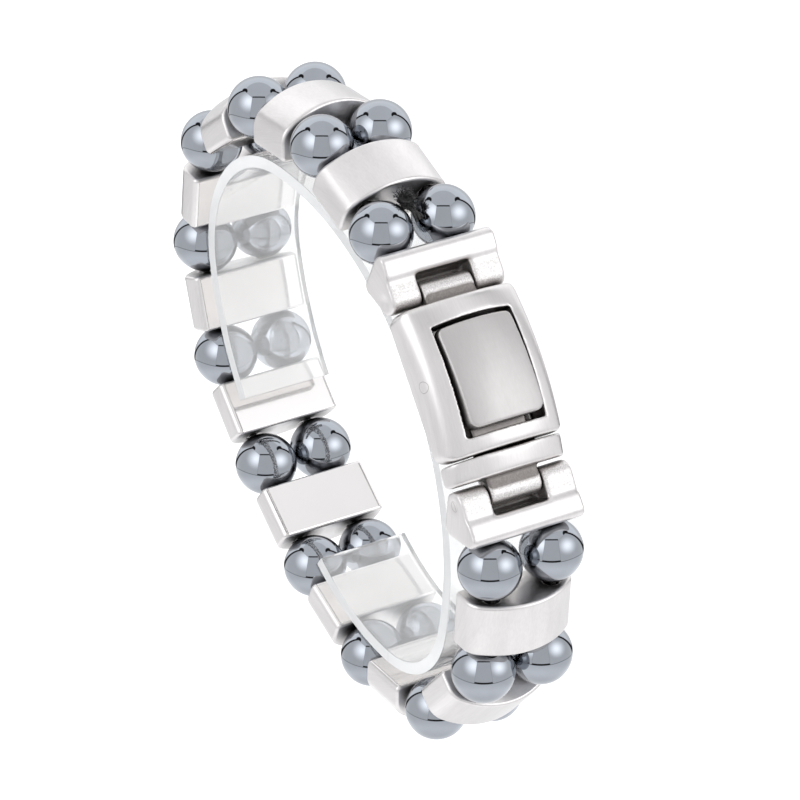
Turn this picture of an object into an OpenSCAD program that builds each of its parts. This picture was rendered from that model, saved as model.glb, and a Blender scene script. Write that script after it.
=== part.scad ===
// Two-strand beaded steel bracelet, closed, lying on its side round a clear display clip.
// Millimetres. The loop lies flat, +Z is up and the clasp faces -Y.
// The pieces are placed in a loop frame that is turned half round, with the clasp at +y.

/* [Beads and cords] */
// Diameter of a round bead
bead_d = 8; // [7.8:0.1:8.2]
// Diameter of the hole through a bead, a link and the clasp's end blocks
thread_hole_d = 2; // [1.9:0.1:2.1]
// Diameter of the cord in the holes
cord_d = 0.8; // [0.6:0.1:0.8]
// Smallest gap between a bead and the piece beside it
piece_gap = 0.06; // [0.06:0.02:0.1]

/* [Links] */
// Length of a link along the loop
link_l = 7.3; // [7.2:0.05:7.4]
// Width of a link across the loop
link_w = 15; // [14.6:0.1:15.4]
// Height of a link from its flat inner face to its crown
link_h = 6.8; // [6.7:0.1:7]
// Distance from a link's flat inner face to its thread holes
link_inner = 3.4; // [3.2:0.1:3.5]

/* [Clasp] */
// Distance from one hinge pin to the other
hinge_span = 26; // [25.6:0.1:26.4]
// Width of the clasp box across the loop
box_w = 17.2; // [17:0.1:17.6]
// Length of the clasp box
box_l = 19.1; // [18.8:0.1:19.2]
// Length of the window in the box
window_l = 14; // [13.6:0.1:14]
// Width of the window in the box
window_w = 11.3; // [11:0.1:11.6]
// Angle by which the lever's free end stands proud
lever_lift = 4; // [2:0.5:5]
// Diameter of the lever's cross pin
lever_pin_d = 1.4; // [1.2:0.1:1.4]
// Width of the two hinged end blocks
block_w = 16.2; // [16:0.1:16.6]
// Diameter of the hinge pins
hinge_pin_d = 1.3; // [1.1:0.1:1.3]
// Fold of the first end block about its pin
first_fold = 0; // [-1:0.5:1]
// Fold of the second end block about its pin
second_fold = 8; // [7:0.5:9]

/* [Display clip] */
// Wall thickness of the clear clip
clip_t = 1.6; // [1.4:0.1:1.7]
// Width of the clear clip
clip_w = 12.6; // [12:0.1:13]

/* [Hidden] */
$fn = 64;

steel = [0.80, 0.79, 0.78];
hematite = [0.30, 0.33, 0.38];
black = [0.10, 0.10, 0.10];
clear = [0.92, 0.95, 0.96, 0.35];

// Bend of the loop at each bead pair, in degrees, half the spacing of its two beads, and
// how far the link that follows sits inward on the cord. One row a pair, from the first
// end block round to the closing link at the back.
BEND = 0;
SPREAD = 1;
SIT = 2;
first_run = [
  [24, 4.45, 0.5], [24, 4.2, 0.5], [35, 4.1, 0.4], [46.5, 4.1, 0.2], [25, 4.1, -0.1], [27.5, 4.1, -0.4]
];
// The same from the second end block, the other way round.
second_run = [
  [31.5, 4.45, 0.5], [38, 4.2, 0.4], [49.5, 4.1, 0], [22.5, 4.1, -0.3], [13.5, 4.1, -0.5], [6, 4.1, -0.4]
];

// Centre of the clasp in the loop frame, midway between the hinge pins
clasp_at = [5.9, 30.25];
bead_r = bead_d / 2;
through = 50;

// Where the thread leaves an end block, along and outward from its pin, and its slope
mouth = [4.9, -0.7];
mouth_slope = 18.5;
// Slope of the end block's face that the beads lean on
face_slope = 26;
thread_depth = 2.2;
cord_tuck = 1.9;

function dir(a) = [cos(a), sin(a)];
function turn(p, a) = [p.x * cos(a) - p.y * sin(a), p.x * sin(a) + p.y * cos(a)];

// Half the length of a bead along its hole
bead_half = sqrt(bead_r ^ 2 - (thread_hole_d / 2) ^ 2);
// From the middle of a bead's hole mouth to a flat link end: more where the loop bends more
function end_gap(bend) =
  piece_gap + (sin(bend / 2) < thread_hole_d / bead_d
    ? thread_hole_d / 2 * sin(bend / 2)
    : bead_r - bead_half * cos(bend / 2));

// Start of a run, at the end block's mouth. Side is -1 for the first run, 1 for the second
function fold_of(side) = side < 0 ? first_fold : second_fold;
function run_start(side) =
  let (m = turn(mouth, -fold_of(side)))
  clasp_at + [side * (hinge_span / 2 + m.x), m.y];
function run_heading(side) =
  let (slope = mouth_slope + fold_of(side))
  side < 0 ? 180 + slope : -slope;

// Walk along a run. Each step is [where the bead begins, its heading, heading of the link after it]
function walk(run, side, trim) = [
  for (
    i = 0, p = run_start(side), h = run_heading(side), g = h - side * (run[0][BEND] + trim) / 2;
    i < len(run);
    reach = 2 * bead_half * dir(h) + link_reach(run, i, trim) * dir(g),
    p = p + reach,
    h = g - side * bend_at(run, i + 1, trim) / 2,
    g = h - side * bend_at(run, i + 1, trim) / 2,
    i = i + 1
  ) [p, h, g]
];
function bend_at(run, i, trim) = i < len(run) ? run[i][BEND] + trim : 0;
function link_reach(run, i, trim) =
  end_gap(bend_at(run, i, trim)) + link_l + end_gap(bend_at(run, i + 1, trim));

// The two runs meet at the closing link: a small trim of every bend makes them fit it
function run_end(run, side, trim) =
  let (last = walk(run, side, trim)[len(run) - 1])
  last[0] + 2 * bead_half * dir(last[1]);
function closing_room(trim) =
  let (n = len(first_run) - 1)
  norm(run_end(first_run, -1, trim) - run_end(second_run, 1, trim))
  - link_l - end_gap(first_run[n][BEND] + trim) - end_gap(second_run[n][BEND] + trim);
function find_trim(low, high, tries) =
  let (middle = (low + high) / 2)
  tries == 0 ? middle
  : closing_room(middle) > 0 ? find_trim(middle, high, tries - 1)
  : find_trim(low, middle, tries - 1);
trim = find_trim(-2, 2, 24);

first_walk = walk(first_run, -1, trim);
second_walk = walk(second_run, 1, trim);
run_n = len(first_run);
pair_n = 2 * run_n;

// Place of every bead pair, in order round the loop: [centre, heading, half spacing]
function pair_of(step, heading, spread) = [step[0] + bead_half * dir(step[1]), heading, spread];
pairs = [
  for (i = [0:run_n - 1]) pair_of(first_walk[i], first_walk[i][1], first_run[i][SPREAD]),
  for (i = [run_n - 1:-1:0]) pair_of(second_walk[i], second_walk[i][1] + 180, second_run[i][SPREAD])
];

// Place of every link between two pairs: [centre, heading, half spacing of its holes, sit]
function link_of(step, run, i, side) = [
  step[0] + 2 * bead_half * dir(step[1]) + (end_gap(bend_at(run, i, trim)) + link_l / 2) * dir(step[2]),
  side < 0 ? step[2] : step[2] + 180,
  (run[i][SPREAD] + run[i + 1][SPREAD]) / 2,
  run[i][SIT]
];
close_a = run_end(first_run, -1, trim);
close_b = run_end(second_run, 1, trim);
links = [
  for (i = [0:run_n - 2]) link_of(first_walk[i], first_run, i, -1),
  [
    (close_a + close_b) / 2, atan2(close_b.y - close_a.y, close_b.x - close_a.x),
    first_run[run_n - 1][SPREAD], first_run[run_n - 1][SIT]
  ],
  for (i = [run_n - 2:-1:0]) link_of(second_walk[i], second_run, i, 1)
];

// Clasp box: its ends and window along the clasp, and heights outward from the hinge line
box_end_1 = -11.1;
box_end_2 = box_end_1 + box_l;
box_inner = -0.3;
box_crown = 6.2;
box_bend_r = 38;
box_mid = -1.65;
window_end_1 = -8.1;
window_mid = window_end_1 + window_l / 2;
// The window's upper end bows outward along the clasp, and the lever's end follows it
window_bow_r = 60;
window_bow = window_bow_r - sqrt(window_bow_r ^ 2 - (window_w / 2) ^ 2);
pocket_floor = 0.7;
dome_r = 16;
shoulder_r = 2.6;
link_dome_r = 10.5;
link_shoulder_r = 2.8;
link_crown = link_h - link_inner;

// Lever: its plate, pin and boss
lever_gap = 0.4;
lever_end_1 = window_end_1 + 0.5;
lever_end_2 = window_end_1 + window_l - 0.8;
lever_mid = (lever_end_1 + lever_end_2) / 2;
lever_w = window_w - 2 * lever_gap;
lever_under = 3.5;
lever_pin_at = [-1.6, 3];
boss_r = 1.35;
running_gap = 0.05;
hook_at = 3.3;
hook_w = 0.8;
hook_low = 2.1;

// Catch: the bar beyond the box, its tongue in the box and its knuckle on the second pin
bar_gap = 0.2;
bar_end_1 = box_end_2 + bar_gap;
bar_end_2 = 10.95;
bar_drop = 0.3;
bar_w = box_w - 0.4;
tongue_low = 1;
tongue_high = 2.6;
tongue_w = 8;
tongue_tip = 1.2;
knuckle_reach = 1.25;
knuckle_top = 1.9;
knuckle_w = 7.3;
slot_w = 7.7;
slot_floor = 1.6;
slot_shelf = 0.7;

// Height of the part's lower side, which the box lies on
ground = box_w / 2;
// The lever is part of the box's own curve, tipped about the lever's upper end
lever_seat = [lever_end_1, 4.4];
lever_curve = lever_seat + turn([box_mid, box_crown - box_bend_r] - lever_seat, lever_lift);
front_reach = clasp_at.y + max(box_crown, lever_curve.y + box_bend_r);
// Outermost places of the loop, which the part is centred by
edges = concat(
  [for (p = pairs, s = [-1, 1]) p[0] + s * [bead_r, bead_r]],
  [for (l = links, x = [-link_l / 2, link_l / 2], y = [-link_crown, link_inner])
    l[0] + turn([x, l[3] + y], l[1])]
);
edge_x = [for (e = edges) e.x];
edge_y = [for (e = edges) e.y];
loop_mid = [(min(edge_x) + max(edge_x)) / 2, (front_reach + min(edge_y)) / 2];

// From the loop frame to the part's own: clasp to the front, lower side on the ground
module in_place() {
  translate([0, 0, ground]) rotate(180) translate([-loop_mid.x, -loop_mid.y, 0]) children();
}
// From the clasp's own frame, along x and outward y from the hinge line, to the loop frame
module in_clasp() {
  in_place() translate([clasp_at.x, clasp_at.y, 0]) children();
}
// Along the loop at a place: x runs on round the loop and y points to the wrist
module at_place(place) {
  in_place() translate([place[0].x, place[0].y, 0]) rotate(place[1]) children();
}

// Convex outline with each corner rounded to its own radius, 0 for a sharp one
function unit(v) = v / norm(v);
function corner_cut(pts, radii, i) =
  let (
    n = len(pts),
    p = pts[i],
    a = unit(pts[(i + n - 1) % n] - p),
    b = unit(pts[(i + 1) % n] - p),
    half = acos(a * b) / 2,
    r = radii[i]
  )
  r == 0 ? [p] : [p + a * r / tan(half), p + b * r / tan(half), p + unit(a + b) * r / sin(half)];
module rounded(pts, radii) {
  cuts = [for (i = [0:len(pts) - 1]) corner_cut(pts, radii, i)];
  polygon([for (c = cuts, j = [0:min(len(c) - 1, 1)]) c[j]]);
  for (i = [0:len(pts) - 1]) if (radii[i] > 0) translate(cuts[i][2]) circle(radii[i]);
}
module rounded_box(x0, x1, y0, y1, r) {
  rounded([[x0, y0], [x1, y0], [x1, y1], [x0, y1]], [r, r, r, r]);
}

// Loaf section: flat base, upright sides, round shoulders and a shallow dome, with a soft
// ridge where the shoulders stand just proud of the dome.
// Height runs along x and width along y
ridge = 0.012;
module loaf(w, base, crown, dome, shoulder, foot) {
  side = w / 2 - shoulder;
  centre = crown - dome;
  rise = sqrt((dome - shoulder) ^ 2 - side ^ 2);
  level = centre + rise + ridge;
  rounded([[base, -w / 2], [level, -w / 2], [level, w / 2], [base, w / 2]], [foot, 0, 0, foot]);
  for (s = [-1, 1]) intersection() {
    translate([level, s * side]) circle(shoulder);
    translate([level - 0.4, -w]) square([shoulder + 1, 2 * w]);
  }
  intersection() {
    translate([centre, 0]) circle(dome, $fn = 180);
    polygon([
      [centre + 0.95 * rise, -0.95 * side],
      [centre + 2 * rise, -2 * side],
      [centre + 2 * rise, 2 * side],
      [centre + 0.95 * rise, 0.95 * side]
    ]);
  }
}

// Solid under the clasp's outer surface: the loaf section bent along the clasp
module bent_loaf(w, crown) {
  translate([box_mid, crown - box_bend_r, 0])
    rotate([0, 0, 60])
      rotate_extrude(angle = 60, $fn = 180)
        translate([box_bend_r - crown, 0]) loaf(w, box_inner - 2, crown, dome_r, shoulder_r, 0);
}
// Outline along the clasp and outward, drawn across the whole width
module across(w) {
  translate([0, 0, -w / 2]) linear_extrude(w) children();
}
// Outline along the clasp and across it, drawn outward
module outward(low, high) {
  translate([0, low, 0]) rotate([-90, 0, 0]) linear_extrude(high - low) children();
}

// What lies inside the bow of the window's upper end, less a gap
module bowed(gap) {
  intersection() {
    children();
    translate([window_end_1 - window_bow + window_bow_r, 0]) circle(window_bow_r - gap, $fn = 180);
  }
}

module thread_holes(length, spread) {
  for (s = [-1, 1])
    translate([0, 0, s * spread]) rotate([0, 90, 0]) cylinder(h = length, d = thread_hole_d, center = true);
}

module bead(i, side) {
  color(hematite)
    at_place(pairs[i - 1]) translate([0, 0, side * pairs[i - 1][2]]) rotate([0, 90, 0])
      rotate_extrude() intersection() {
        circle(d = bead_d);
        translate([thread_hole_d / 2, -bead_d]) square(2 * bead_d);
      }
}

module link(i) {
  color(steel)
    at_place(links[i - 1]) translate([0, links[i - 1][3], 0]) difference() {
      rotate([90, 0, 90]) mirror([1, 0, 0])
        linear_extrude(link_l, center = true)
          loaf(link_w, -link_inner, link_crown, link_dome_r, link_shoulder_r, 0.8);
      thread_holes(link_l + 1, links[i - 1][2]);
    }
}

module clasp_box() {
  color(steel) in_clasp() difference() {
    union() {
      intersection() {
        bent_loaf(box_w, box_crown);
        across(box_w + 1) rounded(
          [[box_end_1, box_inner], [box_end_2, box_inner], [box_end_2, 9], [box_end_1, 9]],
          [0.8, 0.8, 1.5, 1.5]);
        outward(box_inner - 1, 10) rounded_box(box_end_1, box_end_2, -box_w / 2, box_w / 2, 1.4);
      }
      knuckle(-1);
    }
    outward(pocket_floor, 12) bowed(0) translate([window_end_1 - window_bow, -window_w / 2])
      square([window_l + window_bow, window_w]);
    translate([window_mid, tongue_low - 0.2, -tongue_w / 2 - 0.2])
      cube([box_l, tongue_high - tongue_low + 0.4, tongue_w + 0.4]);
    translate([lever_pin_at.x, lever_pin_at.y, 0])
      cylinder(h = through, d = lever_pin_d + 2 * running_gap, center = true);
  }
}

// Knuckle with its neck, on the first pin for side -1 and on the second for side 1
module knuckle(side) {
  root = side < 0 ? -box_end_1 - 0.5 : bar_end_2 - 0.5;
  tip = hinge_span / 2 + knuckle_reach;
  mirror([side < 0 ? 1 : 0, 0, 0]) difference() {
    across(knuckle_w) rounded(
      [[root, box_inner], [hinge_span / 2 - 0.8, -knuckle_reach], [tip, -knuckle_reach],
        [tip, knuckle_top], [root, knuckle_top]],
      [0, 0, 1.1, 1.4, 0]);
    translate([hinge_span / 2, 0, 0])
      cylinder(h = through, d = hinge_pin_d + 2 * running_gap, center = true);
  }
}

module clasp_catch() {
  color(steel) in_clasp() difference() {
    union() {
      intersection() {
        bent_loaf(bar_w, box_crown - bar_drop);
        across(box_w + 1) rounded(
          [[bar_end_1, box_inner], [bar_end_2, box_inner], [bar_end_2, 4.7], [bar_end_1, 5.2]],
          [0.8, 0.8, 1.1, 1.1]);
      }
      knuckle(1);
      translate([tongue_tip, tongue_low, -tongue_w / 2])
        cube([bar_end_1 + 1 - tongue_tip, tongue_high - tongue_low, tongue_w]);
    }
    translate([hook_at - 1, tongue_low - 1, -window_w / 4 - 0.3])
      cube([2, tongue_high - tongue_low + 2, window_w / 2 + 0.6]);
  }
}

module lever() {
  pin = [lever_pin_at.x, lever_pin_at.y, 0];
  seat = [lever_seat.x, lever_seat.y, 0];
  color(steel) in_clasp() difference() {
    union() {
      intersection() {
        translate(seat) rotate(lever_lift) translate(-seat) bent_loaf(box_w, box_crown);
        outward(lever_under, 12) bowed(lever_end_1 - window_end_1)
          rounded_box(lever_end_1 - window_bow, lever_end_2, -lever_w / 2, lever_w / 2, 1.2);
      }
      translate(pin) cylinder(h = lever_w, r = boss_r, center = true);
      translate([hook_at - hook_w / 2, hook_low, -window_w / 4])
        cube([hook_w, lever_under + 0.5 - hook_low, window_w / 2]);
    }
    translate(pin) cylinder(h = through, d = lever_pin_d + 2 * running_gap, center = true);
  }
}

module lever_pin() {
  color(steel) in_clasp() intersection() {
    translate([lever_pin_at.x, lever_pin_at.y, 0])
      cylinder(h = box_w - 0.1, d = lever_pin_d, center = true);
    bent_loaf(box_w, box_crown);
  }
}

module end_block(side) {
  color(steel) in_clasp() mirror([side < 0 ? 1 : 0, 0, 0])
    translate([hinge_span / 2, 0, 0]) rotate(-fold_of(side)) difference() {
      union() {
        across(block_w) rounded(
          [[-1.75, 1.9], [-1.75, -0.9], mouth + block_face(-3.5), mouth + block_face(1.6), [5.5, 1.95]],
          [1.6, 1.4, 1, 0.1, 0.1]);
        across(block_w) rounded(
          [[2.3, 1], [5.5, 1], [5.7, 2.75], [2.3, 2.25]],
          [0.1, 0.1, 1.1, 0.3]);
      }
      translate([-3, -through / 2, -slot_w / 2]) cube([3, through, slot_w]);
      translate([-3, -slot_floor, -slot_w / 2]) cube([3 + knuckle_reach + 0.35, through, slot_w]);
      translate([-3, -slot_shelf, -slot_w / 2]) cube([5.3, through, slot_w]);
      cylinder(h = through, d = hinge_pin_d + 2 * running_gap, center = true);
      translate([mouth.x, mouth.y, 0]) rotate(-mouth_slope)
        translate([-thread_depth, 0, 0]) for (s = [-1, 1])
          translate([0, 0, s * first_run[0][SPREAD]]) rotate([0, 90, 0]) cylinder(h = 8, d = thread_hole_d);
    }
}
// Step along the face that the beads lean on, from the mouth, set back by the gap
function block_face(rise) =
  let (lean = end_gap(2 * (face_slope - mouth_slope)))
  [rise * tan(face_slope) - lean / cos(face_slope), rise];

module hinge_pin(side) {
  color(steel) in_clasp() translate([side * hinge_span / 2, 0, 0])
    cylinder(h = block_w - 0.4, d = hinge_pin_d, center = true);
}

// Cord through one row of holes, from one end block round to the other
function cord_level(i) = let (j = min(max(i, 0), pair_n - 1)) pairs[j][2];
function block_tuck(side) =
  run_start(side) - cord_tuck * dir(run_heading(side));
function bead_end(i, s) = pairs[i][0] + s * bead_half * dir(pairs[i][1]);
cord_route = concat(
  [[block_tuck(-1).x, block_tuck(-1).y, cord_level(0)]],
  [for (i = [0:pair_n - 1], s = [-1, 1])
    let (p = bead_end(i, s)) [p.x, p.y, (cord_level(i) + cord_level(i + s)) / 2]],
  [[block_tuck(1).x, block_tuck(1).y, cord_level(pair_n - 1)]]
);
cord_sides = 8;
function flat(p) = [p.x, p.y];
function route_dir(i) =
  let (
    n = len(cord_route) - 1,
    from = min(i, n - 1),
    to = max(i, 1),
    back = unit(flat(cord_route[to] - cord_route[to - 1])),
    ahead = unit(flat(cord_route[from + 1] - cord_route[from]))
  )
  unit(back + ahead);
module cord(side) {
  n = len(cord_route);
  rings = [
    for (i = [0:n - 1], k = [0:cord_sides - 1])
      let (
        t = route_dir(i),
        a = 360 * (k + 0.5) / cord_sides,
        across = cord_d / 2 * cos(a)
      )
      [
        cord_route[i].x - t.y * across,
        cord_route[i].y + t.x * across,
        side * cord_route[i].z + cord_d / 2 * sin(a)
      ]
  ];
  walls = [
    for (i = [0:n - 2], k = [0:cord_sides - 1])
      let (j = (k + 1) % cord_sides, a = i * cord_sides, b = a + cord_sides)
      [a + k, b + k, b + j, a + j]
  ];
  near_end = [for (k = [0:cord_sides - 1]) k];
  far_end = [for (k = [cord_sides - 1:-1:0]) (n - 1) * cord_sides + k];
  color(black) in_place() polyhedron(rings, concat(walls, [near_end, far_end]));
}

// Tied ends of the cord, in the hollow between the first pair and the first link
module cord_knot() {
  color(black) at_place(pairs[0]) translate([2.4, -2.2, 0]) {
    sphere(r = 1.15);
    translate([-0.1, -0.7, 0]) cylinder(h = 1.55, r = 0.6);
    translate([-0.1, -0.7, 1.55]) sphere(r = 0.6);
  }
}

// Clear clip: arcs that follow one another round the inside of the loop
ARC_R = 0;
SWEEP = 1;
clip_arcs = [[31, 33], [12.4, 78.5], [38.5, 107], [17, 100], [44, 22.5]];
clip_start = [17.9, -12.4];
clip_heading = 17.5;
// Every second arc is thinner by this step on all sides and laps into its two neighbours
clip_step = 0.02;
clip_lap = 1.5;
function left_of(h) = [-sin(h), cos(h)];
clip_places = [
  for (
    i = 0, p = clip_start, h = clip_heading;
    i < len(clip_arcs);
    c = p + clip_arcs[i][ARC_R] * left_of(h),
    h = h + clip_arcs[i][SWEEP],
    p = c - clip_arcs[i][ARC_R] * left_of(h),
    i = i + 1
  ) [p + clip_arcs[i][ARC_R] * left_of(h), h - 90]
];
module display_clip() {
  color(clear) in_place() for (i = [0:len(clip_arcs) - 1]) {
    step = i % 2 * clip_step;
    lap = i % 2 * clip_lap;
    translate([clip_places[i][0].x, clip_places[i][0].y, step - clip_w / 2])
      rotate(clip_places[i][1] - lap)
        rotate_extrude(angle = clip_arcs[i][SWEEP] + 2 * lap, $fn = 180)
          translate([clip_arcs[i][ARC_R] - clip_t / 2 + step, 0])
            square([clip_t - 2 * step, clip_w - 2 * step]);
  }
}

function two_digits(i) = i < 10 ? str("0", i) : str(i);

clasp_box();
clasp_catch();
lever();
lever_pin();
end_block(-1);  // end_block_1
end_block(1);  // end_block_2
hinge_pin(-1);  // hinge_pin_1
hinge_pin(1);  // hinge_pin_2
for (i = [1:pair_n - 1]) link(i);
for (i = [1:pair_n]) bead(i, 1);
for (i = [1:pair_n]) bead(i, -1);
cord(1);  // cord_top
cord(-1);  // cord_low
cord_knot();
display_clip();
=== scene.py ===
import math
import random
import bmesh
import bpy
from mathutils import Euler, Matrix, Vector


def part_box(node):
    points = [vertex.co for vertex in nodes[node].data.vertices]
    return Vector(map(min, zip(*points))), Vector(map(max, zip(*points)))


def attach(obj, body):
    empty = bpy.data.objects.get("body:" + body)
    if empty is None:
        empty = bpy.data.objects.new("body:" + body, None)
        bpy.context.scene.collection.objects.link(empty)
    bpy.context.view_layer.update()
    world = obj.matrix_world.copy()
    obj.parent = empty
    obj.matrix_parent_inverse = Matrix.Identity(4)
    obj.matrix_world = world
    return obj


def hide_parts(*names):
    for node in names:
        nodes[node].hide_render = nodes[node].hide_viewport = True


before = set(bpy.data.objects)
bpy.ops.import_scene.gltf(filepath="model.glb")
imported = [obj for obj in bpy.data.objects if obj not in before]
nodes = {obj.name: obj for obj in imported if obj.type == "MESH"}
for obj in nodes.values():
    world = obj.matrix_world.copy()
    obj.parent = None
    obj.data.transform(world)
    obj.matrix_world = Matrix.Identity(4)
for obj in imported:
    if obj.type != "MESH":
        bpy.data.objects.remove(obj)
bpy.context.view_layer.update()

print("frame loaded:", len(nodes), "nodes")


# A wrapped socket: an expression on sockets adds its own Math nodes
class Value:
    def __init__(self, tree, socket):
        self.tree = tree
        self.socket = socket

    def math(self, operation, *others, clamp=False):
        inputs = {index: value for index, value in enumerate((self,) + others)}
        return self.tree.add("ShaderNodeMath", {"operation": operation, "use_clamp": clamp}, inputs)

    def __add__(self, other):
        return self.math("ADD", other)

    def __radd__(self, other):
        return self.math("ADD", other)

    def __sub__(self, other):
        return self.math("SUBTRACT", other)

    def __rsub__(self, other):
        return self.tree.add("ShaderNodeMath", {"operation": "SUBTRACT"}, {0: other, 1: self})

    def __mul__(self, other):
        return self.math("MULTIPLY", other)

    def __rmul__(self, other):
        return self.math("MULTIPLY", other)

    def __truediv__(self, other):
        return self.math("DIVIDE", other)

    def __pow__(self, other):
        return self.math("POWER", other)

    def size(self):
        return self.math("ABSOLUTE")

    def most(self, other):
        return self.math("MAXIMUM", other)

    def clamped(self):
        return self.math("ADD", 0.0, clamp=True)


class Tree:
    # a node tree, with one method that adds any node and fills its inputs
    def __init__(self, nodeTree):
        self.nodes = nodeTree.nodes
        self.links = nodeTree.links

    def put(self, socket, value):
        if isinstance(value, Value):
            self.links.new(value.socket, socket)
        elif value is not None:
            socket.default_value = value

    def add(self, kind, settings=None, inputs=None, output=0):
        node = self.nodes.new(kind)
        for key, value in (settings or {}).items():
            setattr(node, key, value)
        for key, value in (inputs or {}).items():
            self.put(node.inputs[key], value)
        return Value(self, node.outputs[output])

    def spot(self, kind="Object"):
        return self.add("ShaderNodeTexCoord", output=kind)

    def axes(self, vector):
        return [self.add("ShaderNodeSeparateXYZ", {}, {0: vector}, output=axis) for axis in range(3)]

    def join(self, x, y, z):
        return self.add("ShaderNodeCombineXYZ", {}, {0: x, 1: y, 2: z})

    def scaled(self, vector, size):
        return self.add("ShaderNodeVectorMath", {"operation": "SCALE"}, {0: vector, "Scale": 1 / size})

    def distance(self, x, y, middle):
        return ((x - middle[0]) ** 2.0 + (y - middle[1]) ** 2.0) ** 0.5

    def along(self, vector, direction):
        return self.add("ShaderNodeVectorMath", {"operation": "DOT_PRODUCT"},
                        {0: vector, 1: tuple(direction)}, output="Value")

    def noise(self, where, scale, detail=3.0, rough=0.5):
        return self.add("ShaderNodeTexNoise", {},
                        {"Vector": where, "Scale": scale, "Detail": detail, "Roughness": rough})

    def mix(self, factor, first, second):
        return self.add("ShaderNodeMix", {"data_type": "RGBA"}, {0: factor, 6: first, 7: second}, output=2)

    def spread(self, value, low, high, start=0.0, end=1.0, smooth=False):
        return self.add("ShaderNodeMapRange",
                        {"interpolation_type": "SMOOTHSTEP" if smooth else "LINEAR"},
                        {"Value": value, "From Min": low, "From Max": high, "To Min": start, "To Max": end})


class Finish(Tree):
    # a material with one Principled shader
    def __init__(self, name, **settings):
        self.material = bpy.data.materials.new(name)
        self.material.use_nodes = True
        super().__init__(self.material.node_tree)
        self.shader = self.nodes["Principled BSDF"]
        self.set(**settings)

    def set(self, **settings):
        for socket, value in settings.items():
            self.put(self.shader.inputs[socket.replace("_", " ")], value)
        return self

    def bump(self, height, strength, distance, normal=None):
        return self.add("ShaderNodeBump", {},
                        {"Height": height, "Strength": strength, "Distance": distance, "Normal": normal})

    def softEdges(self, radius):
        return self.add("ShaderNodeBevel", {"samples": 6}, {"Radius": radius})

    def occlusionShade(self, distance):
        # painted shade: darker where nearby surfaces hide the light, from ambient occlusion
        lit = self.add("ShaderNodeAmbientOcclusion", {"samples": 6}, {"Distance": distance}, output="AO")
        return 1.0 - lit


# Satin steel of the links and the clasp: brushed along the loop, faintly clouded, smoother and painted
# lighter (painted light) on the side that faces the wrist, left sandy as cast round the hinges, with
# painted shade in its corners, in the clasp's window and behind the knuckles, and dark lines round the ends
# of the pins
satinSteel = {
    "color": (0.725, 0.695, 0.68, 1),
    "cloud": (0.635, 0.607, 0.595, 1),
    "innerPaintedLightColor": (0.785, 0.752, 0.735, 1),
    "castColor": (0.80, 0.767, 0.753, 1),
    "pit": (0.56, 0.535, 0.52, 1),
    "shadeAndRings": (0.09, 0.075, 0.065, 1),
    "roughness": 0.32,
    "castRoughness": 0.45,
    "innerRoughness": 0.12,
    "bandLength": 0.02,
    "bandWidth": 0.0028,
    "brushLength": 0.004,
    "brushWidth": 0.00018,
    "brushDepth": 0.000004,
    "loopRadius": 0.037,  # turns an angle round the loop into a length
    "grainSize": 0.00017,
    "grainDepth": 0.00002,
    "waveSize": 0.0035,
    "waveDepth": 0.00002,
    "innerFacing": (-0.9, -0.75),
    "castReach": 0.0024,
    "castFade": 0.0004,
    "castEnds": (0.0003, 0.0001),
    "shadeReach": 0.0012,
    "shadePower": 1.4,
    "hollow": (0.0019, 0.0030, 0.0037),  # from and to, away from the pin, and half the width
    "hollowRim": 0.0001,
    "hollowFade": 0.0002,
    "hollowShade": 0.8,
    "windowDepth": (-0.0302, -0.0266),
    "windowFade": (0.0006, 0.0004),
    "windowSide": 0.0005,
    "windowRim": (0.0005, 0.0006),
    "windowShade": 0.75,
    "ringWidth": 0.00004,
    "ringDepth": (0.0006, 0.0005),
    "slotReach": (0.8, 0.9),
    "ringDirt": 0.55,
}
# The lever is brushed a little duller than the rest, and its colour is darker as painted shade
dullShadedSteel = {
    **satinSteel,
    "color": (0.52, 0.495, 0.485, 1),
    "cloud": (0.48, 0.457, 0.447, 1),
    "roughness": 0.44,
    "brushDepth": 0.000006,
}
# The pins whose ends show on the upper side, and whether the end is slotted
shownPins = {"lever_pin": False, "hinge_pin_2": True}


def pinEnd(finish, axes, pin, slotted, settings):
    # a thin dark ring round a pin's upper end, with its slot
    x, y, z = axes
    low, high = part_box(pin)
    middle = (low + high) / 2
    radius = (high.x - low.x) / 2
    away = finish.distance(x, y, middle)
    width = settings["ringWidth"]
    line = finish.spread((away - radius).size(), width / 2, width, 1.0, 0.0)
    if slotted:
        slot = finish.spread((y - middle.y).size(), width, 1.5 * width, 1.0, 0.0)
        short, long = settings["slotReach"]
        line = line.most(slot * finish.spread(away, short * radius, long * radius, 1.0, 0.0))
    deep, shallow = settings["ringDepth"]
    return line * finish.spread(z, high.z - deep, high.z - shallow)


def hingeZones(finish, axes, settings):
    # the sandy zone round each hinge pin, and the recess behind its knuckle, which gets painted shade
    x, y, z = axes
    cast = 0.0
    hollow = 0.0
    first, last, half = settings["hollow"]
    thick = (last - first) / 2
    reach = settings["castReach"]
    for pin in ("hinge_pin_1", "hinge_pin_2"):
        low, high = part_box(pin)
        away = finish.distance(x, y, ((low.x + high.x) / 2, (low.y + high.y) / 2))
        height = (z - (low.z + high.z) / 2).size()
        cast = finish.spread(away, reach, reach + settings["castFade"], 1.0, 0.0) + cast
        slot = finish.spread(height, half, half + settings["hollowFade"], 1.0, 0.0)
        band = finish.spread((away - (first + last) / 2).size(), thick - settings["hollowRim"], thick)
        hollow = slot * (1.0 - band) + hollow
    pinEnds = (high.z - low.z) / 2  # both pins stand at one height
    inside, outside = settings["castEnds"]
    return cast * finish.spread(height, pinEnds - inside, pinEnds - outside, 1.0, 0.0), hollow


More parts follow.
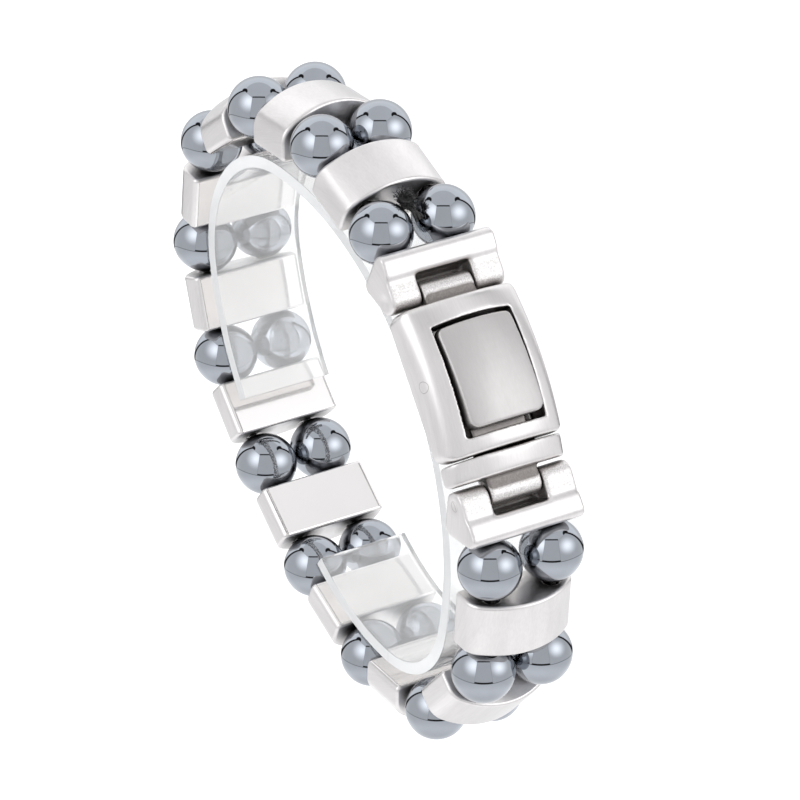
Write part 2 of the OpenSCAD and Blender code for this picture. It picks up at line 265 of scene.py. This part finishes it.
def windowZone(finish, axes, settings):
    # the depth of the clasp's window, round and under the lever, which gets painted shade
    x, y, z = axes
    low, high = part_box("lever")
    window = ((z - (low.z + high.z) / 2).size() - (high.z - low.z) / 2).most(
        (x - (low.x + high.x) / 2).size() - (high.x - low.x) / 2 - settings["windowSide"])
    first, last = settings["windowDepth"]
    firstFade, lastFade = settings["windowFade"]
    within = finish.spread(window, *settings["windowRim"], 1.0, 0.0)
    begins = finish.spread(y, first, first + firstFade)
    return within * begins * finish.spread(y, last, last + lastFade, 1.0, 0.0)


def steelFinish(name, settings):
    finish = Finish(name, Metallic=1.0)
    spot = finish.spot()
    axes = finish.axes(spot)
    x, y, z = axes
    radius = (x * x + y * y) ** 0.5
    turn = y.math("ARCTAN2", x) * settings["loopRadius"]

    def roundLoop(length, width):
        return finish.join(turn * (1 / length), radius * (1 / width), z * (1 / width))

    streaks = finish.noise(roundLoop(settings["brushLength"], settings["brushWidth"]), 1.0, 4.0, 0.6)
    clouds = finish.noise(roundLoop(settings["bandLength"], settings["bandWidth"]), 1.0, 3.0, 0.55)
    waves = finish.noise(finish.scaled(spot, settings["waveSize"]), 1.0, 1.0, 0.4)
    grain = finish.noise(finish.scaled(spot, settings["grainSize"]), 1.0, 3.0, 0.6)
    cast, hollow = hingeZones(finish, axes, settings)
    normal = finish.axes(finish.add("ShaderNodeNewGeometry", output="Normal"))
    # the side that faces the wrist: smoother, and painted lighter as painted light
    inner = finish.spread((normal[0] * x + normal[1] * y) / radius, *settings["innerFacing"], 1.0, 0.0)
    # painted shade in corners and creases, behind the knuckles and in the clasp's window, with thin dark
    # lines round the pin ends
    shadeAndRings = finish.occlusionShade(settings["shadeReach"]) ** settings["shadePower"]
    under = windowZone(finish, axes, settings)
    shadeAndRings = shadeAndRings.most(hollow * settings["hollowShade"]).most(under * settings["windowShade"])
    for pin, slotted in shownPins.items():
        shadeAndRings = shadeAndRings.most(pinEnd(finish, axes, pin, slotted, settings) * settings["ringDirt"])
    wavy = finish.bump(waves, 0.5, settings["waveDepth"])
    brushed = finish.bump(streaks, 0.5, settings["brushDepth"], wavy)
    worn = finish.spread(clouds, 0.35, 0.7) * 0.7 + finish.spread(streaks, 0.35, 0.7) * 0.5
    satin = finish.mix(worn.clamped(), settings["color"], settings["cloud"])
    satin = finish.mix(inner, satin, settings["innerPaintedLightColor"])
    sandy = finish.mix(finish.spread(grain, 0.4, 0.62), settings["pit"], settings["castColor"])
    polish = settings["roughness"] + (streaks - 0.5) * 0.10 + (clouds - 0.5) * 0.08
    polish = polish + cast * (settings["castRoughness"] - settings["roughness"])
    polish = polish + inner * (settings["innerRoughness"] - settings["roughness"])
    return finish.set(
        Base_Color=finish.mix(shadeAndRings, finish.mix(cast, satin, sandy), settings["shadeAndRings"]),
        Roughness=polish.clamped(),
        Normal=finish.bump(grain * cast, 0.6, settings["grainDepth"], brushed),
    ).material


# Dark stone polished like a mirror, with hardly visible polishing marks
polishedStone = {
    "color": (0.345, 0.362, 0.392, 1),
    "vein": (0.325, 0.34, 0.365, 1),
    "roughness": 0.03,
    "markDepth": 0.0000012,
}


def stoneFinish(name, settings):
    finish = Finish(name, Metallic=1.0)
    spot = finish.scaled(finish.spot(), 0.001)
    cloud = finish.noise(spot, 0.35, 4.0, 0.6)
    marks = finish.noise(spot, 8.0, 3.0, 0.7)
    return finish.set(
        Base_Color=finish.mix(finish.spread(cloud, 0.35, 0.7), settings["color"], settings["vein"]),
        Roughness=(settings["roughness"] + (cloud - 0.5) * 0.02).clamped(),
        Normal=finish.bump(marks, 0.2, settings["markDepth"]),
    ).material


# Black waxed cord, a little brown where it is frayed
blackCord = {
    "color": (0.012, 0.012, 0.012, 1),
    "fray": (0.07, 0.062, 0.055, 1),
    "roughness": 0.5,
    "strandDepth": 0.00015,
}


def cordFinish(name, settings):
    finish = Finish(name)
    spot = finish.scaled(finish.spot(), 0.001)
    strands = finish.add("ShaderNodeTexWave", {"bands_direction": "DIAGONAL"},
                         {"Vector": spot, "Scale": 1.6, "Distortion": 2.0, "Detail": 2.0}, output="Fac")
    fluff = finish.noise(spot, 7.0, 4.0, 0.7)
    return finish.set(
        Base_Color=finish.mix(finish.spread(fluff, 0.5, 0.75), settings["color"], settings["fray"]),
        Roughness=(settings["roughness"] + (fluff - 0.5) * 0.5).clamped(),
        Normal=finish.bump(strands * 0.6 + fluff * 0.4, 0.9, settings["strandDepth"]),
    ).material


# Clear acrylic of the display clip: a slight milky veil, and frosted rims where it was cut
clearPlastic = {
    "color": (0.985, 0.99, 0.99, 1),
    "haze": (0.97, 0.965, 0.96, 1),
    "hazeRoughness": 0.35,
    "roughness": 0.03,
    "ior": 1.49,
    "veil": 0.16,
    "rimVeil": 0.55,
    "rimFacing": (0.4, 0.9),
    "scuffDepth": 0.00002,
    "edgeRadius": 0.00022,
}


def clearFinish(name, settings):
    finish = Finish(name, Transmission_Weight=1.0, IOR=settings["ior"])
    spot = finish.scaled(finish.spot(), 0.001)
    scuffs = finish.noise(spot, 0.25, 3.0, 0.5)
    soft = finish.softEdges(settings["edgeRadius"])
    finish.set(
        Base_Color=settings["color"],
        Roughness=(settings["roughness"] + (scuffs - 0.5) * 0.03).clamped(),
        Normal=finish.bump(scuffs, 0.1, settings["scuffDepth"], soft),
    )
    facing = finish.add("ShaderNodeNewGeometry", output="Normal")
    rim = finish.axes(facing)[2].size()
    veil = finish.spread(rim, *settings["rimFacing"], settings["veil"], settings["rimVeil"])
    veil = veil + (scuffs - 0.5) * 0.06
    milk = finish.add("ShaderNodeBsdfPrincipled", {},
                      {"Base Color": settings["haze"], "Roughness": settings["hazeRoughness"]})
    clear = Value(finish, finish.shader.outputs[0])
    both = finish.add("ShaderNodeMixShader", {}, {0: veil.clamped(), 1: clear, 2: milk})
    finish.put(finish.nodes["Material Output"].inputs["Surface"], both)
    return finish.material


steel = steelFinish("satin_steel", satinSteel)
dullShaded = steelFinish("dull_shaded_steel", dullShadedSteel)
stone = stoneFinish("polished_stone", polishedStone)
cord = cordFinish("black_cord", blackCord)
clear = clearFinish("clear_acrylic", clearPlastic)
kinds = {"bead": stone, "cord": cord, "disp": clear, "leve": dullShaded}
for name, node in nodes.items():
    node.data.materials.clear()
    node.data.materials.append(kinds.get(name[:4], steel))
print("materials done")


def addSteel(name, mesh, replaced):
    # the dressed piece that stands for one or more steel nodes
    for face in mesh.polygons:
        face.use_smooth = True
    mesh.materials.append(dullShaded if name == "lever" else steel)
    piece = bpy.data.objects.new(mesh.name, mesh)
    bpy.context.scene.collection.objects.link(piece)
    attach(piece, "lever_swing" if name == "lever" else "bracelet")
    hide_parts(*replaced)
    return piece


# The links' sharp edges are rounded over
roundedLinks = {"weld": 0.00002, "flat": 1.0, "sharp": 28.0, "width": 0.00045, "steps": 4, "hard": 50.0}


def roundLink(name, settings):
    shape = bmesh.new()
    shape.from_mesh(nodes[name].data)
    bmesh.ops.remove_doubles(shape, verts=shape.verts, dist=settings["weld"])
    bmesh.ops.dissolve_limit(shape, angle_limit=math.radians(settings["flat"]),
                             verts=shape.verts, edges=shape.edges)
    sharp = [edge for edge in shape.edges if edge.calc_face_angle_signed() > math.radians(settings["sharp"])]
    bmesh.ops.bevel(shape, geom=sharp, offset=settings["width"], offset_type="OFFSET", profile=0.5,
                    segments=settings["steps"], affect="EDGES", clamp_overlap=False)
    mesh = bpy.data.meshes.new(name + "_rounded")
    shape.to_mesh(mesh)
    shape.free()
    mesh.set_sharp_from_angle(angle=math.radians(settings["hard"]))
    piece = addSteel(name, mesh, [name])
    weights = piece.modifiers.new("flat_faces", "WEIGHTED_NORMAL")
    weights.keep_sharp = True


# The cast pieces of the clasp are softened all over, as if they had come out of a mould: each
# is rebuilt in small even cells together with its pin, and smoothed, least in the window
castPieces = {
    "weld": 0.000001,
    "cell": 0.00014,
    "askew": (0.62, 0.47, 0.35),
    "everywhere": 16,
    "outside": {"clasp_box": 60, "clasp_catch": 30, "lever": 1, "end_block_1": 50, "end_block_2": 50},
    "pins": {"clasp_box": ["lever_pin"], "end_block_1": ["hinge_pin_1"], "end_block_2": ["hinge_pin_2"]},
    "windowMargins": (0.0004, 0.0016),
}


def applyModifiers(holder):
    # the object keeps its changed shape as its own mesh
    seen = holder.evaluated_get(bpy.context.evaluated_depsgraph_get())
    mesh = bpy.data.meshes.new_from_object(seen)
    holder.modifiers.clear()
    holder.data = mesh


def softenCast(name, settings):
    replaced = [name] + settings["pins"].get(name, [])
    shape = bmesh.new()
    for part in replaced:
        shape.from_mesh(nodes[part].data)
    bmesh.ops.remove_doubles(shape, verts=shape.verts, dist=settings["weld"])
    mesh = bpy.data.meshes.new(name + "_cast")
    shape.to_mesh(mesh)
    shape.free()
    # the cells lie askew to the piece, so that no edge of it runs along them in steps
    askew = Euler(settings["askew"]).to_matrix().to_4x4()
    mesh.transform(askew)
    holder = bpy.data.objects.new(name + "_holder", mesh)
    bpy.context.scene.collection.objects.link(holder)
    cells = holder.modifiers.new("cells", "REMESH")
    cells.mode = "VOXEL"
    cells.voxel_size = settings["cell"]
    applyModifiers(holder)
    holder.data.transform(askew.inverted())
    near, far = settings["windowMargins"]
    low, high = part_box("lever")
    outer = holder.vertex_groups.new(name="outer")
    for vert in holder.data.vertices:
        away = max(low.x - vert.co.x, vert.co.x - high.x, low.z - vert.co.z, vert.co.z - high.z)
        weight = min(1.0, max(0.0, (away - near) / (far - near))) if name == "clasp_box" else 1.0
        outer.add([vert.index], weight, "REPLACE")
    for group, passes in (("", settings["everywhere"]), ("outer", settings["outside"][name])):
        smooth = holder.modifiers.new("smooth", "SMOOTH")
        smooth.factor = 0.5
        smooth.iterations = passes
        smooth.vertex_group = group
    applyModifiers(holder)
    mesh = holder.data
    bpy.data.objects.remove(holder)
    mesh.name = name + "_cast"
    addSteel(name, mesh, replaced)


for name in nodes:
    if name.startswith("link"):
        roundLink(name, roundedLinks)
for name in castPieces["outside"]:
    softenCast(name, castPieces)
print("rounded steel done")


# The tied end of the cord: a few thick strands in a lump, with fine hairs round it
tiedEnd = {
    "seed": 7,
    "hairs": 120,
    "hairLength": 0.0016,
    "hairRadius": 0.000028,
    "strands": 7,
    "strandRadius": 0.00022,
    "lumpRadius": 0.0010,
    "runStrands": 3,
}

knotLow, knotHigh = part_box("cord_knot")
knotCentre = (knotLow + knotHigh) / 2
beadBoxes = [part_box("bead_01_" + row) for row in ("top", "low")]
beadCentres = [(low + high) / 2 for low, high in beadBoxes]
linkLow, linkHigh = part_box("link_01")
linkCentre = (linkLow + linkHigh) / 2
toLink = linkCentre - (beadCentres[0] + beadCentres[1]) / 2
toLink = Vector((toLink.x, toLink.y, 0)).normalized()
outward = Vector((toLink.y, -toLink.x, 0))
if outward.dot(knotCentre) < 0:
    outward = -outward
rowUp = Vector((0, 0, 1))
beadRadius = (beadBoxes[0][1] - beadBoxes[0][0]).z / 2


def keptClear(point, radius):
    # moves a point of the cord out of the two beads beside it
    for centre in beadCentres:
        away = point - centre
        if away.length < beadRadius + radius:
            point = centre + away.normalized() * (beadRadius + radius)
    return point


def addThread(curve, points, radius):
    # one thin round thread through the points
    spline = curve.splines.new("POLY")
    spline.points.add(len(points) - 1)
    for place, point in zip(spline.points, points):
        place.co = (*keptClear(point, radius), 1)


def threadCurve(name, radius):
    curve = bpy.data.curves.new(name, "CURVE")
    curve.dimensions = "3D"
    curve.bevel_depth = radius
    curve.bevel_resolution = 1
    curve.materials.append(cord)
    return curve


def addKnot(settings):
    # thick strands wound into a lump that runs down between the beads, and hairs that stick out
    dice = random.Random(settings["seed"])
    strands = threadCurve("knot_strands", settings["strandRadius"])
    lump = settings["lumpRadius"]
    for index in range(settings["strands"]):
        phase = index * 2 * math.pi / settings["strands"]
        tilt = dice.uniform(-0.6, 0.6)
        points = []
        for step in range(19):
            angle = phase + step * math.pi / 9
            swing = lump * (0.75 + 0.25 * math.sin(2 * angle + phase))
            points.append(knotCentre + rowUp * swing * math.cos(angle) * 0.95
                          + toLink * (swing * math.sin(angle) * 0.8 + tilt * lump * math.cos(angle))
                          + outward * lump * (0.1 + 0.45 * math.sin(angle + 2 * phase)))
        addThread(strands, points, settings["strandRadius"])
    for index in range(settings["runStrands"]):
        side = (index - 1) * settings["strandRadius"] * 1.6
        points = [knotCentre - toLink * lump * step * 0.5 + rowUp * (side - 0.00008 * step)
                  + outward * (0.0003 * math.cos(step * 1.1 + index) - 0.0001 * step) for step in range(7)]
        addThread(strands, points, settings["strandRadius"])
    hairs = threadCurve("knot_hairs", settings["hairRadius"])
    for index in range(settings["hairs"]):
        direction = (rowUp * dice.gauss(0.35, 0.7) + toLink * dice.gauss(-0.2, 0.6)
                     + outward * dice.gauss(0.5, 0.4)).normalized()
        start = knotCentre + direction * lump * 0.7
        curl = Vector((dice.gauss(0, 1), dice.gauss(0, 1), dice.gauss(0, 1))).normalized()
        length = settings["hairLength"] * dice.uniform(0.25, 0.8)
        points = [start + direction * length * step / 5
                  + curl * length * 0.35 * math.sin(step * dice.uniform(0.6, 1.1)) for step in range(6)]
        addThread(hairs, points, settings["hairRadius"])
    for curve in (strands, hairs):
        piece = bpy.data.objects.new(curve.name, curve)
        bpy.context.scene.collection.objects.link(piece)
        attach(piece, "bracelet")
    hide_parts("cord_knot")


addKnot(tiedEnd)
print("knot done")


# The photograph's camera in the part's own frame, with its direction and roll
camera = {
    "place": (-0.0500, -0.5674, 0.3061),
    "towards": (0.076, 0.881, -0.467),
    "right": (-0.319, -0.422, -0.849),
    "lens": 229.9,
    "film": 36.0,
}

view = Vector(camera["towards"]).normalized()
right = Vector(camera["right"])
right = (right - view * right.dot(view)).normalized()
up = right.cross(view)
cameraData = bpy.data.cameras.new("camera")
cameraData.lens = camera["lens"]
cameraData.sensor_width = camera["film"]
cameraData.clip_start = 0.01
cameraObject = bpy.data.objects.new("camera", cameraData)
bpy.context.scene.collection.objects.link(cameraObject)
turn = Matrix((right, up, -view)).transposed().to_4x4()
cameraObject.matrix_world = Matrix.Translation(camera["place"]) @ turn
bpy.context.scene.camera = cameraObject

# The light tent round the object, drawn as a polished ball of radius 1 shows it from the
# camera's side: x to the right, y up. Two soft boxes with a hot middle stand left and right
# of a grey column, with a round ceiling above, a table below and a pale wall behind.
lightTent = {
    "column": {"half": 0.20, "flare": 0.13, "top": 0.28, "glow": 1.01},
    "box": {"middle": (0.35, -0.12), "radius": 0.61, "slope": 0.91, "glow": 1.04},
    "hot": {"glow": 1.75, "spots": [((-0.30, 0.16), 0.38), ((0.48, 0.12), 0.32)]},
    "ceiling": {"middle": 0.27, "radius": 0.50, "glow": 1.14},
    "wall": {"glow": 1.52, "back": 0.85, "reach": (0.88, 0.99)},
    "table": {"level": -0.40, "arch": 0.28, "glow": 1.16, "middle": -0.62, "hot": 0.25, "fade": 0.3},
    "gap": {"width": 0.05, "corner": (0.43, 0.50), "glow": 0.03, "cornerWidth": 1.7, "over": 0.8,
            "foot": 0.25, "columnFoot": 0.9},
    "soft": 0.012,
    "color": (0.955, 0.975, 1.0, 1),
    "backdrop": 1.0,
}


def paintTent(world, settings):
    tree = Tree(world.node_tree)
    ray = tree.spot("Generated")
    toCamera = tree.along(ray, -view)
    reach = ((toCamera + 1.0001) * 2.0) ** 0.5
    x = tree.along(ray, right) / reach
    y = tree.along(ray, up) / reach
    soft = settings["soft"]
    gap = settings["gap"]

    def within(distance, limit):
        return tree.spread(distance, limit - soft, limit + soft, 1.0, 0.0, smooth=True)

    def over(under, mask, glow):
        return under + mask * (glow - under)

    ceiling = settings["ceiling"]
    column = settings["column"]
    box = settings["box"]
    table = settings["table"]
    hot = settings["hot"]
    wall = settings["wall"]
    rim = tree.distance(x, y, (0.0, 0.0))
    glow = tree.spread(rim, *wall["reach"], wall["glow"], wall["back"], smooth=True)
    overhead = tree.distance(x, y, (0.0, ceiling["middle"]))
    glow = over(glow, within(overhead, ceiling["radius"]), ceiling["glow"])
    side = x.size()
    slope = y - (side - column["half"]) * box["slope"]
    boxShape = tree.distance(side, y, box["middle"])
    outer = within(boxShape, box["radius"] + gap["width"]) * within(slope, column["top"])
    corner = within(tree.distance(side, y, gap["corner"]), gap["width"] * gap["cornerWidth"])
    glow = over(glow, outer.most(corner), gap["glow"])
    inner = within(boxShape, box["radius"]) * within(slope, column["top"])
    leftSpot, rightSpot = [tree.spread(tree.distance(x, y, middle), 0.0, radius, 1.0, 0.0, smooth=True)
                           for middle, radius in hot["spots"]]
    glow = over(glow, inner, box["glow"] + hot["glow"] * (leftSpot + rightSpot))
    edge = column["half"] - (y - column["top"]) * column["flare"]
    columnShape = within(side - edge, 0.0) * within(y, column["top"])
    columnGap = within(side - edge, 0.0) * within(y, column["top"] + gap["width"] * gap["over"])
    glow = over(glow, columnGap, gap["glow"])
    glow = over(glow, columnShape, column["glow"])
    line = table["level"] + x * x * table["arch"]
    foot = gap["width"] * (gap["foot"] + gap["columnFoot"] * within(side - edge, 0.0))
    glow = over(glow, tree.spread(y - line - foot, -soft, soft, 1.0, 0.0, smooth=True), gap["glow"])
    middle = (y - table["middle"]).size()
    lit = table["glow"] + table["hot"] * tree.spread(middle, 0.0, table["fade"], 1.0, 0.0, smooth=True)
    glow = over(glow, within(y - line, 0.0), lit)
    eye = tree.add("ShaderNodeLightPath", output="Is Camera Ray")
    background = world.node_tree.nodes["Background"]
    tree.put(background.inputs["Color"], settings["color"])
    tree.put(background.inputs["Strength"], over(glow, eye, settings["backdrop"]))


world = bpy.data.worlds.new("light_tent")
bpy.context.scene.world = world
world.use_nodes = True
paintTent(world, lightTent)

# A pale floor that is lit from within like a light table, and doesn't show in the mirrors
paleFloor = {"size": 3.0, "height": -0.00004, "color": (0.5, 0.5, 0.5, 1), "roughness": 0.6, "glow": 0.86}
floorMesh = bpy.data.meshes.new("floor")
floorShape = bmesh.new()
bmesh.ops.create_grid(floorShape, x_segments=1, y_segments=1, size=paleFloor["size"],
                      matrix=Matrix.Translation((0, 0, paleFloor["height"])))
floorShape.to_mesh(floorMesh)
floorShape.free()
floor = bpy.data.objects.new("floor", floorMesh)
bpy.context.scene.collection.objects.link(floor)
floorFinish = Finish("pale_floor", Base_Color=paleFloor["color"], Roughness=paleFloor["roughness"],
                     Specular_IOR_Level=0.0, Emission_Color=(1, 1, 1, 1), Emission_Strength=paleFloor["glow"])
floorMesh.materials.append(floorFinish.material)
floor.visible_glossy = False
floor.visible_shadow = False
bpy.context.scene.view_settings.view_transform = "Standard"
print("light and camera done")
